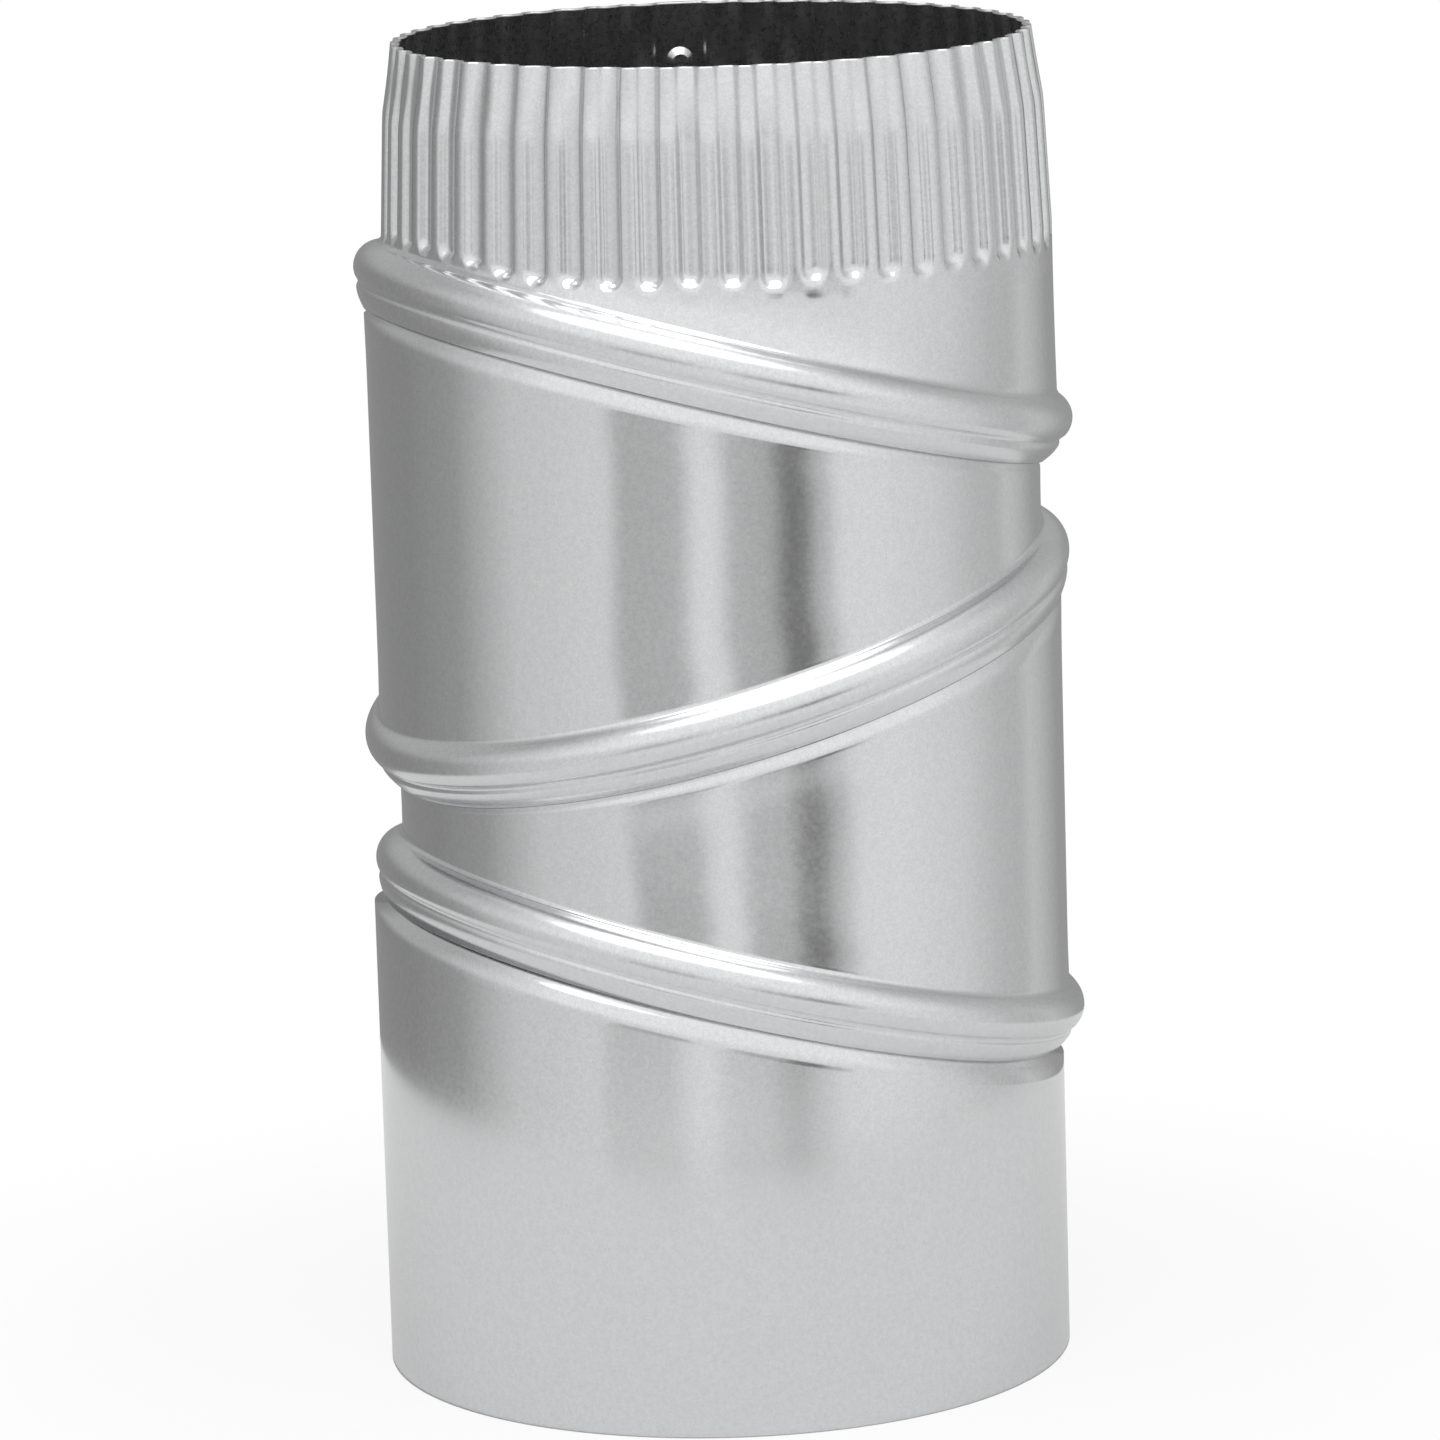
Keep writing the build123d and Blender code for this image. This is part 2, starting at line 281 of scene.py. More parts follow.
@dataclass
class SwivelBead:
    """One tilted bead, where two gores turn on one another, read from its joint."""

    joint: dict
    sizes: SheetSizes
    centre: Vector = field(init=False)
    axis: Vector = field(init=False)
    across: Vector = field(init=False)
    side: Vector = field(init=False)

    def __post_init__(self) -> None:
        """Read the bead's centre and axes from the joint."""
        self.centre = Vector(self.joint["pos_m"])
        self.axis = Vector(self.joint["axis"]).normalized()
        self.across = Vector((self.axis.z, 0.0, -self.axis.x))
        self.side = self.axis.cross(self.across)

    @property
    def ring(self) -> float:
        """Radius of the round edge that is rolled from a gore's slanted cut."""
        return self.sizes.gore_diameter / 2 * (1 + 1 / self.axis.z) / 2

    @property
    def crown_centre(self) -> float:
        """Distance of the crown's own centre from the bead's axis."""
        return self.ring + self.sizes.bead_height - self.sizes.crown_radius

    @property
    def neck_height(self) -> float:
        """How far below the crown the neck is."""
        return self.sizes.lip_drop + self.sizes.neck_gap

    @property
    def neck_drop(self) -> float:
        """How far below the crown the wall of the lower gore ends."""
        return self.neck_height + self.sizes.neck_flare

    @property
    def shoulder_rise(self) -> float:
        """How far above the crown the wall of the upper gore starts."""
        sizes = self.sizes
        return math.sqrt(sizes.crown_radius**2 - (sizes.crown_radius - sizes.bead_height) ** 2)

    @property
    def shoulder_x(self) -> float:
        """Place along X of the middle of the wall above the bead."""
        return (self.centre + self.axis * self.shoulder_rise).x

    def at(self, turn: float, reach: float, height: float) -> Vector:
        """Give a point by its turn round the bead, its reach and its height over the crown.

        Args:
            turn: Angle round the bead.
            reach: Distance from the bead's axis.
            height: Height over the crown's plane.

        Returns:
            The point.
        """
        out = self.across * math.cos(turn) + self.side * math.sin(turn)
        return self.centre + out * reach + self.axis * height

    def plane_height(self, x: float, offset: float) -> float:
        """Give the height of a plane of the bead over a place along X.

        Args:
            x: The place along X.
            offset: How far the plane lies above the crown's plane.

        Returns:
            The plane's height.
        """
        middle = self.centre + self.axis * offset
        return middle.z - (x - middle.x) * self.axis.x / self.axis.z

    def outer_section(self) -> list[Spot]:
        """Give the section of the bead that wraps round, from its lip up to the wall above it.

        Returns:
            Distances from the axis and heights over the crown.
        """
        sizes = self.sizes
        radius = sizes.crown_radius - sizes.crown_relief
        sweep = (sizes.crown_above + sizes.crown_below) / sizes.crown_steps
        angles = [sweep * i - sizes.crown_below for i in range(sizes.crown_steps + 1)]
        crown = [(self.crown_centre + radius * math.cos(a), radius * math.sin(a)) for a in angles]
        reach = self.crown_centre + radius
        marks = [(reach - depth * MM, -drop * MM) for depth, drop in reversed(sizes.roll)]
        knots = [Vector(p) for p in (*marks, crown[0], crown[1])]
        roll = []
        for i in range(len(marks)):
            before = knots[max(i - 1, 0)]
            start, end, after = knots[i : i + 3]
            for step in range(sizes.roll_steps):
                share = step / sizes.roll_steps
                roll.append(tuple(ease_through(before, start, end, after, share)))
        return [*roll, *crown]

    def inner_section(self) -> list[Spot]:
        """Give the section of the rolled edge inside the bead, from the neck to its end under the crown.

        Returns:
            Distances from the axis and heights over the crown.
        """
        sizes = self.sizes
        radius = sizes.crown_radius - sizes.sheet - sizes.running_clearance
        angles = [sizes.nest_wrap * i / sizes.nest_steps for i in range(sizes.nest_steps + 1)]
        rolled = [(self.crown_centre + radius * math.cos(a), radius * math.sin(a)) for a in angles]
        return [(self.ring - sizes.neck_depth, -self.neck_height), *rolled]

    def rings(self, section: Sequence[Spot]) -> Rings:
        """Carry a section round the bead.

        Args:
            section: Distances from the axis and heights over the crown.

        Returns:
            The shapes of the rings at the section's points.
        """
        return [lambda turn, spot=spot: self.at(turn, *spot) for spot in section]


def ease_through(before: Vector, start: Vector, end: Vector, after: Vector, share: float) -> Vector:
    """Give a point of the smooth curve that passes through four knots, between the middle two.

    Args:
        before: The first knot.
        start: The second knot, where the stretch starts.
        end: The third knot, where it ends.
        after: The fourth knot.
        share: How far along the stretch the point is.

    Returns:
        The point.
    """
    leave = (end - before) / 2
    reach = (after - start) / 2
    bend = 3 * (end - start) - 2 * leave - reach
    settle = 2 * (start - end) + leave + reach
    return start + leave * share + bend * share**2 + settle * share**3


def smooth_step(value: float) -> float:
    """Ease a value from 0 to 1.

    Args:
        value: The value.

    Returns:
        The eased value, between 0 and 1.
    """
    kept = min(1.0, max(0.0, value))
    return kept * kept * (3 - 2 * kept)


@dataclass
class SheetSkin:
    """The outside of a bent sheet, drawn out ring by ring."""

    steps: int
    mesh: bmesh.types.BMesh = field(default_factory=bmesh.new)

    def wrap(self, rings: Rings, worked: Sequence[float]) -> list[list[bmesh.types.BMFace]]:
        """Draw the sheet out from its first ring to its last.

        Args:
            rings: The rings' shapes, from the bottom up.
            worked: How far the sheet was worked at each ring, from 0 to 1.

        Returns:
            The faces of each band between two rings.
        """
        worked_layer = self.mesh.verts.layers.float.new(WORKED)
        turn_layer = self.mesh.verts.layers.float.new("turn")
        verts = bmesh.ops.create_circle(self.mesh, segments=self.steps, radius=1.0)["verts"]
        edges = list(self.mesh.edges)
        for vert in verts:
            vert[turn_layer] = math.atan2(vert.co.y, vert.co.x)
            vert.co = rings[0](vert[turn_layer])
            vert[worked_layer] = worked[0]
        bands = []
        for shape, amount in zip(rings[1:], worked[1:]):
            made = bmesh.ops.extrude_edge_only(self.mesh, edges=edges)["geom"]
            new = {g for g in made if isinstance(g, bmesh.types.BMVert)}
            edges = [g for g in made if isinstance(g, bmesh.types.BMEdge) and new.issuperset(g.verts)]
            bands.append([g for g in made if isinstance(g, bmesh.types.BMFace)])
            for vert in new:
                vert.co = shape(vert[turn_layer])
                vert[worked_layer] = amount
        self.face_out(bands[len(bands) // 2][0])
        return bands

    def face_out(self, probe: bmesh.types.BMFace) -> None:
        """Turn all faces of the skin outwards.

        Args:
            probe: A face of the wall, which shows which way they point.
        """
        bmesh.ops.recalc_face_normals(self.mesh, faces=self.mesh.faces)
        middle = sum((v.co for v in self.mesh.verts), Vector()) / len(self.mesh.verts)
        away = probe.calc_center_median() - middle
        if probe.normal.dot(Vector((away.x, away.y, 0.0))) < 0:
            bmesh.ops.reverse_faces(self.mesh, faces=self.mesh.faces)
        self.mesh.normal_update()

    def lap(
        self, walls: list[bmesh.types.BMFace], centre_x: float, sizes: SheetSizes
    ) -> bmesh.types.BMesh:
        """Cut the strip of the lap seam out of a copy of the walls, one thickness further out.

        Args:
            walls: The walls' faces.
            centre_x: Where the duct's middle is along X.
            sizes: The shared sizes.

        Returns:
            The strip's mesh.
        """
        strip = bmesh.new()
        copies: dict[bmesh.types.BMVert, bmesh.types.BMVert] = {}
        for face in walls:
            for vert in face.verts:
                if vert not in copies:
                    level = Vector((vert.normal.x, vert.normal.y, 0.0)).normalized()
                    copies[vert] = strip.verts.new(vert.co + level * sizes.sheet)
            strip.faces.new([copies[v] for v in face.verts])
        out = Vector((math.cos(sizes.seam_angle), math.sin(sizes.seam_angle), 0.0))
        side = UP.cross(out)
        centre = Vector((centre_x, 0.0, 0.0))
        half = side * (sizes.seam_lap / 2)
        for point, away in ((centre, -out), (centre + half, side), (centre - half, -side)):
            geom = [*strip.verts, *strip.edges, *strip.faces]
            bmesh.ops.bisect_plane(strip, geom=geom, plane_co=point, plane_no=away, clear_outer=True)
        return strip


@dataclass
class Gore:
    """One gore of the duct: a bent sheet with its lap seam."""

    node: str
    body: str
    sizes: SheetSizes
    finishes: tuple[bpy.types.Material, bpy.types.Material]
    steps: int = field(default=320, kw_only=True)

    def rings(self) -> tuple[Rings, Rings, Rings]:
        """Give the rings of the gore from the bottom up: below its wall, in its wall and above it."""
        raise NotImplementedError

    def centre_x(self) -> float:
        """Give the place of the gore's middle along X."""
        raise NotImplementedError

    def worked(self, count: int) -> list[float]:
        """Give how far the sheet was worked at each ring of the wall.

        Args:
            count: How many rings the wall has.

        Returns:
            The amounts, from 0 to 1.
        """
        return [0.0] * count

    def build(self) -> bpy.types.Object:
        """Draw the gore's skin, add its lap and give them their thickness.

        Returns:
            The gore's piece.
        """
        below, wall, above = self.rings()
        skin = SheetSkin(self.steps)
        worked = [*(1.0 for _ in below), *self.worked(len(wall)), *(1.0 for _ in above)]
        bands = skin.wrap([*below, *wall, *above], worked)
        first = max(len(below) - 1, 0)
        walls = [face for band in bands[first : first + len(wall)] for face in band]
        lap = skin.lap(walls, self.centre_x(), self.sizes)
        return self.thicken([skin.mesh, lap])

    def thicken(self, skins: list[bmesh.types.BMesh]) -> bpy.types.Object:
        """Make one piece of the skins and thicken it inwards.

        Args:
            skins: The skins, facing out.

        Returns:
            The piece.
        """
        name = f"{self.body}_sheet"
        mesh = bpy.data.meshes.new(name)
        whole = bmesh.new()
        for skin in skins:
            part = bpy.data.meshes.new(f"{name}_skin")
            skin.to_mesh(part)
            skin.free()
            whole.from_mesh(part)
            bpy.data.meshes.remove(part)
        for face in whole.faces:
            face.smooth = True
        whole.to_mesh(mesh)
        whole.free()
        for finish in self.finishes:
            mesh.materials.append(finish)
        piece = bpy.data.objects.new(name, mesh)
        bpy.context.scene.collection.objects.link(piece)
        wall = piece.modifiers.new("sheet", "SOLIDIFY")
        wall.thickness = self.sizes.sheet
        wall.offset = -1.0
        wall.use_rim = True
        # The inside faces take the second finish, whose darker colour is painted shade.
        wall.material_offset = 1
        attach(piece, self.body)
        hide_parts(self.node)
        LOG.info("%s: %d faces", name, len(mesh.polygons))
        return piece


@dataclass
class PlainEnd(Gore):
    """The plain socket at the bottom, drawn in to the neck of the first bead."""

    top: SwivelBead
    bore_radius: float = 51.0 * MM
    rim_levels: tuple[float, ...] = (0.0, 0.01)
    fillet_levels: int = 4

    def centre_x(self) -> float:
        """Give the place of the socket's middle along X."""
        return 0.0

    def wall_ring(self, level: float) -> RingShape:
        """Give a ring of the socket's wall.

        Args:
            level: Share of the wall's height.

        Returns:
            The ring's shape.
        """
        radius = self.bore_radius + self.sizes.sheet

        def shape(turn: float) -> Vector:
            """Give the ring's point at a turn.

            Args:
                turn: Angle round the socket.

            Returns:
                The point.
            """
            x = radius * math.cos(turn)
            edge = self.top.plane_height(x, -self.top.neck_drop)
            return Vector((x, radius * math.sin(turn), level * edge))

        return shape

    def rings(self) -> tuple[Rings, Rings, Rings]:
        """Give the rings of the socket from the bottom up, with none for a fillet at its plain rim.

        Returns:
            The rings below its wall, in its wall and above it.
        """
        levels = (*self.rim_levels, *self.sizes.wall_levels[self.fillet_levels :])
        wall = [self.wall_ring(level) for level in levels]
        return [], wall, self.top.rings(self.top.inner_section())


@dataclass
class MiddleGore(Gore):
    """A gore between two beads that lean opposite ways."""

    bottom: SwivelBead
    top: SwivelBead

    def centre_x(self) -> float:
        """Give the place of the gore's middle along X."""
        return self.bottom.shoulder_x

    def pull_in(self, low: float, high: float) -> float:
        """Give how far the wall is pulled in at its waist, between the stiff beads.

        Args:
            low: Distance from the wall's lower end.
            high: Distance from its upper end.

        Returns:
            The depth at that place.
        """
        ease = self.sizes.waist_ease
        near_bottom = math.exp(-((low / ease) ** 2))
        near_top = math.exp(-((high / ease) ** 2))
        return self.sizes.waist * (1 - near_bottom) * (1 - near_top)

    def wall_ring(self, level: float) -> RingShape:
        """Give a ring of the wall between the beads.

        Args:
            level: Share of the wall's height.

        Returns:
            The ring's shape.
        """
        start = self.bottom.outer_section()[-1]
        centre = Vector((self.centre_x(), 0.0, 0.0))

        def shape(turn: float) -> Vector:
            """Give the ring's point at a turn.

            Args:
                turn: Angle round the beads.

            Returns:
                The point.
            """
            base = self.bottom.at(turn, *start)
            edge = self.top.at(turn, self.top.ring, -self.top.neck_drop)
            height = edge.z - base.z
            low = level * height
            spread = max(0.0, 1 - low / self.sizes.fillet) ** 2
            oval = Vector((edge.x, edge.y, 0.0))
            foot = Vector((base.x, base.y, 0.0))
            out = (oval - centre).normalized()
            spot = oval + (foot - oval) * spread - out * self.pull_in(low, height - low)
            return spot + UP * (base.z + low)

        return shape

    def rings(self) -> tuple[Rings, Rings, Rings]:
        """Give the rings of the gore from the bottom up.

        Returns:
            The rings below its wall, in its wall and above it.
        """
        bead = self.bottom.rings(self.bottom.outer_section())
        wall = [self.wall_ring(level) for level in self.sizes.wall_levels]
        return bead, wall, self.top.rings(self.top.inner_section())


@dataclass(frozen=True)
class Crimp:
    """How one groove of the collar, and the land after it, came out of the crimping wheels."""

    depth: float
    twist: float
    end_shift: float
    floor_bow: float
    land_bow: float


@dataclass(frozen=True)
class CrimpingWheels:
    """How unevenly the wheels press the grooves: ranges of chance, with lengths in millimetres."""

    seed: int = 53
    depth_share: Span = (0.78, 1.0)
    twist: Span = (-0.14, 0.14)
    end_shift: Span = (-0.5, 0.3)
    floor_bow: Span = (-0.05, 0.3)
    land_bow: Span = (-0.22, 0.02)

    def press(self, count: int, depth: float) -> list[Crimp]:
        """Draw the uneven crimps, the same in every run.

        Args:
            count: How many crimps there are.
            depth: The depth of the deepest groove.

        Returns:
            The crimps.
        """
        chance = random.Random(self.seed)
        return [
            Crimp(
                depth=depth * chance.uniform(*self.depth_share),
                twist=chance.uniform(*self.twist),
                end_shift=chance.uniform(*self.end_shift) * MM,
                floor_bow=chance.uniform(*self.floor_bow) * MM,
                land_bow=chance.uniform(*self.land_bow) * MM,
            )
            for _ in range(count)
        ]


@dataclass
class CrimpedEnd(Gore):
    """The gore at the top, with the crimped collar that slides into the next duct.

    The levels are shares of the plain wall's height and of the taper's, and crimp_heights are
    millimetres above the collar's foot. The first plain_rings of the wall are left as rolled.
    """

    bottom: SwivelBead
    rim_height: float
    wheels: CrimpingWheels = CrimpingWheels()
    crimp_count: int = 53
    side_steps: int = 4
    crimp_length: float = 28.4 * MM
    crimp_depth: float = 1.2 * MM
    crimp_mouth: float = 4.2 * MM
    crimp_side: float = 1.25 * MM
    crimp_run: float = 3.0 * MM
    crimp_margin: float = 0.6 * MM
    crimp_scoop: float = 1.5 * MM
    bulge: float = 0.1 * MM
    bulge_drop: float = 0.4 * MM
    bulge_length: float = 0.9 * MM
    bulge_width: float = 1.3 * MM
    collar_diameter: float = 98.9 * MM
    kink_diameter: float = 97.2 * MM
    rim_diameter: float = 94.1 * MM
    rim_taper: float = 10.2 * MM
    kink_round: float = 0.06 * MM
    shortest_wall: float = 0.3 * MM
    foot_slope: float = 0.2
    foot_bend: float = 2.5
    plain_rings: int = 10
    plain_levels: tuple[float, ...] = (
        0.03, 0.07, 0.12, 0.2, 0.3, 0.4, 0.5, 0.58, 0.64, 0.69,
        0.73, 0.77, 0.81, 0.85, 0.89, 0.93, 0.97, 1.0,
    )
    crimp_heights: tuple[float, ...] = (0.4, 0.8, 1.2, 1.7, 2.4, 3.2, 5.0, 8.0, 11.0, 14.0, 16.5, 17.6)
    taper_levels: tuple[float, ...] = (0.0, 0.06, 0.18, 0.35, 0.5, 0.65, 0.8, 0.9, 0.97, 1.0)
    crimps: list[Crimp] = field(init=False)

    def __post_init__(self) -> None:
        """Press the crimps and set the ring's steps to fit them."""
        self.steps = self.crimp_count * self.crimp_steps
        self.crimps = self.wheels.press(self.crimp_count, self.crimp_depth)

    @property
    def crimp_steps(self) -> int:
        """Steps of one pitch: the two sides, the two halves of the floor and of the land."""
        return 2 * (self.side_steps + 2)

    @property
    def pitch(self) -> float:
        """Angle from one groove to the next."""
        return math.tau / self.crimp_count

    @property
    def foot_height(self) -> float:
        """Height of the collar's foot."""
        return self.rim_height - self.crimp_length

    @property
    def kink_height(self) -> float:
        """Height of the kink above the collar's foot."""
        return self.crimp_length - self.rim_taper

    def centre_x(self) -> float:
        """Give the place of the collar's middle along X."""
        return self.bottom.shoulder_x

    def worked(self, count: int) -> list[float]:
        """Give how far the sheet was worked at each ring of the wall and the collar.

        Args:
            count: How many rings they have.

        Returns:
            The amounts: 0 in the plain wall, then 1.
        """
        return [0.0] * self.plain_rings + [1.0] * (count - self.plain_rings)

    def collar_radius(self, height: float) -> float:
        """Give the outside radius of the collar's lands.

        Args:
            height: Height above the collar's foot. Below it, the foot's radius is given.

        Returns:
            The radius.
        """
        over = max(height, 0.0) - self.kink_height
        lower_slope = (self.collar_diameter - self.kink_diameter) * over / self.kink_height
        upper_slope = (self.kink_diameter - self.rim_diameter) * over / self.rim_taper
        below = (self.kink_diameter - lower_slope) / 2
        above = (self.kink_diameter - upper_slope) / 2
        return (below + above) / 2 - math.hypot((below - above) / 2, self.kink_round)

    def sink(self, number: int, across: float, along: float) -> float:
        """Give how far a point of the collar is pressed in, with the slight bulge below each groove.

        Args:
            number: The groove that the point belongs to.
            across: Distance from the groove's middle, along the collar.
            along: Distance from the groove's lower end.

        Returns:
            The depth at that point.
        """
        crimp = self.crimps[number]
        half = self.crimp_mouth / 2
        short = max(0.0, half + crimp.end_shift - along)
        far = math.hypot(across, short)
        lower = short / far if far else 0.0
        width = self.crimp_side + (self.crimp_scoop - self.crimp_side) * lower**2
        pressed = smooth_step((half - far) / width)
        below = ((along + self.bulge_drop) / self.bulge_length) ** 2
        beside = (across / self.bulge_width) ** 2
        lifted = math.exp(-below - beside)
        return pressed * (crimp.depth + crimp.twist * across) - self.bulge * lifted

    def bow(self, number: int, across: float, height: float) -> float:
        """Give how far a strip of the collar is bowed out above the kink.

        Args:
            number: The groove that the point belongs to.
            across: Distance from the groove's middle, along the collar.
            height: Height above the collar's foot.

        Returns:
            The bow at that point.
        """
        crimp = self.crimps[number]
        share = (height - self.kink_height) / self.rim_taper
        inner = smooth_step((self.crimp_mouth / 2 - abs(across)) / self.crimp_side)
        amount = crimp.land_bow + (crimp.floor_bow - crimp.land_bow) * inner
        return amount * math.sin(math.pi * min(1.0, max(0.0, share)))

    def slot_turns(self, radius: float) -> list[float]:
        """Give the turns of the vertices of one pitch, from a groove's middle to the next groove's.

        Args:
            radius: The collar's radius.

        Returns:
            The turns, starting at 0.
        """
        side = self.crimp_side / radius
        floor = self.crimp_mouth / 2 / radius - side
        shares = [(step + 1) / self.side_steps for step in range(self.side_steps)]
        half = (0.0, floor, *(floor + side * share for share in shares))
        return [*half, self.pitch / 2, *(self.pitch - place for place in reversed(half[1:]))]

    def creased(self, turn: float, height: float, base: Vector, share: float) -> tuple[float, int]:
        """Give a vertex's angle round the collar, where the creases of the grooves gather the vertices.

        Args:
            turn: Turn of the vertex round the bead.
            height: Height above the collar's foot, below it if negative.
            base: The point of the bead's top edge at the same turn.
            share: How far the vertex is moved to its place by the creases.

        Returns:
            The angle, and the nearest groove, counted from the seam.
        """
        index = round((turn - self.sizes.seam_angle) / (self.pitch / self.crimp_steps))
        number, slot = divmod(index, self.crimp_steps)
        slots = self.slot_turns(self.collar_radius(height))
        crease = self.sizes.seam_angle + self.pitch * number + slots[slot]
        plain = math.atan2(base.y, base.x - self.centre_x())
        angle = plain + math.remainder(crease - plain, math.tau) * share
        return angle, number + (1 if slot > self.crimp_steps // 2 else 0)

    def oval_radius(self, angle: float) -> float:
        """Give the radius of the oval wall above the bead.

        Args:
            angle: Angle round the collar.

        Returns:
            The radius.
        """
        return self.bottom.ring / math.hypot(math.cos(angle) / self.bottom.axis.z, math.sin(angle))

    def wall_height(self, angle: float) -> float:
        """Give the height of the plain wall between the bead and the collar's foot.

        Args:
            angle: Angle round the collar.

        Returns:
            The height.
        """
        x = self.centre_x() + self.oval_radius(angle) * math.cos(angle)
        edge = self.bottom.plane_height(x, self.bottom.shoulder_rise)
        return max(self.foot_height - edge, self.shortest_wall)

    def plain_radius(self, angle: float, height: float, base: Vector) -> float:
        """Give the outside radius of the wall or the collar before the grooves are pressed in.

        Args:
            angle: Angle round the collar.
            height: Height above the collar's foot, below it if negative.
            base: The point of the bead's top edge at the same turn.

        Returns:
            The radius.
        """
        radius = self.collar_radius(height)
        if height < 0:
            down = min(1.0, -height / self.wall_height(angle))
            ease = self.foot_slope * down + (1 - self.foot_slope) * down**self.foot_bend
            radius += (self.oval_radius(angle) - radius) * ease
        clear = self.foot_height + height - base.z
        spread = max(0.0, 1 - clear / self.sizes.fillet) ** 2
        start = math.hypot(base.x - self.centre_x(), base.y)
        return radius + max(0.0, start - radius) * spread

    def pressed_spot(self, turn: float, height: float, base: Vector, share: float) -> Vector:
        """Give a point of the wall or the collar. The seam's own pitch has no groove.

        Args:
            turn: Turn of the vertex round the bead.
            height: Height above the collar's foot, below it if negative.
            base: The point of the bead's top edge at the same turn.
            share: How far the vertex is moved to its place by the creases.

        Returns:
            The point.
        """
        angle, nearest = self.creased(turn, height, base, share)
        radius = self.plain_radius(angle, height, base)
        z = self.foot_height + height
        number = nearest % self.crimp_count
        if number:
            middle = self.sizes.seam_angle + self.pitch * nearest
            across = math.remainder(angle - middle, math.tau) * radius
            run = max(0.0, min(self.crimp_run, self.wall_height(angle) - self.crimp_margin))
            clear = smooth_step((z - base.z) / self.sizes.fillet)
            radius -= clear * self.sink(number, across, height + run)
            radius += self.bow(number, across, height)
        return Vector((self.centre_x() + radius * math.cos(angle), radius * math.sin(angle), z))

    def wall_ring(self, level: float) -> RingShape:
        """Give a ring of the wall between the bead and the collar's foot.

        Args:
            level: Share of the wall's height.

        Returns:
            The ring's shape.
        """
        start = self.bottom.outer_section()[-1]

        def shape(turn: float) -> Vector:
            """Give the ring's point at a turn.

            Args:
                turn: Angle round the bead.

            Returns:
                The point.
            """
            base = self.bottom.at(turn, *start)
            height = (base.z - self.foot_height) * (1 - level)
            return self.pressed_spot(turn, height, base, smooth_step(level * 2))

        return shape

    def collar_ring(self, height: float) -> RingShape:
        """Give a ring of the collar.

        Args:
            height: Height above the collar's foot.

        Returns:
            The ring's shape.
        """
        start = self.bottom.outer_section()[-1]
        return lambda turn: self.pressed_spot(turn, height, self.bottom.at(turn, *start), 1.0)

    def rings(self) -> tuple[Rings, Rings, Rings]:
        """Give the rings of the gore from the bottom up.

        Returns:
            The rings below its wall, in its wall with the collar, and above it.
        """
        bead = self.bottom.rings(self.bottom.outer_section())
        wall = [self.wall_ring(level) for level in self.plain_levels]
        lower = [height * MM for height in self.crimp_heights]
        upper = [self.kink_height + self.rim_taper * level for level in self.taper_levels]
        collar = [self.collar_ring(height) for height in (*lower, *upper)]
        return bead, [*wall, *collar], []


@dataclass
class SeamRivet:
    """The rivet of the collar's lap seam, which keeps its solid and gets a finish."""

    node: str
    finish: bpy.types.Material

    def dress(self) -> None:
        """Give the rivet its finish."""
        rivet = frame["nodes"][self.node]
        rivet.data.materials.clear()
        rivet.data.materials.append(self.finish)
        LOG.info("%s: solid kept", self.node)


@dataclass(frozen=True)
class Screens:
    """A round of studio screens: their brightness at bearings to the right of the camera, in degrees."""

    stops: tuple[tuple[float, float], ...]

    def level(self, bearing: float) -> float:
        """Give the brightness between two stops.

        Args:
            bearing: The bearing to the right of the camera.

        Returns:
            The brightness there.
        """
        first, last = self.stops[0], self.stops[-1]
        chain = ((last[0] - FULL_TURN, last[1]), *self.stops, (first[0] + FULL_TURN, first[1]))
        for (start, low), (end, high) in zip(chain, chain[1:]):
            if start <= bearing <= end:
                return low + (high - low) * (bearing - start) / (end - start)
        return first[1]

    def fill(self, ramp: bpy.types.ColorRamp, ahead: float) -> None:
        """Set a ramp over the whole round, which starts and ends at minus X.

        Args:
            ramp: The ramp to fill.
            ahead: The camera's own bearing, clockwise from plus X.
        """
        seam = self.level(ahead - FULL_TURN / 2)
        marks = [(((bearing - ahead) / FULL_TURN + 0.5) % 1.0, level) for bearing, level in self.stops]
        for end in ramp.elements:
            end.color = (seam, seam, seam, 1.0)
        for position, level in sorted(marks):
            ramp.elements.new(position).color = (level, level, level, 1.0)


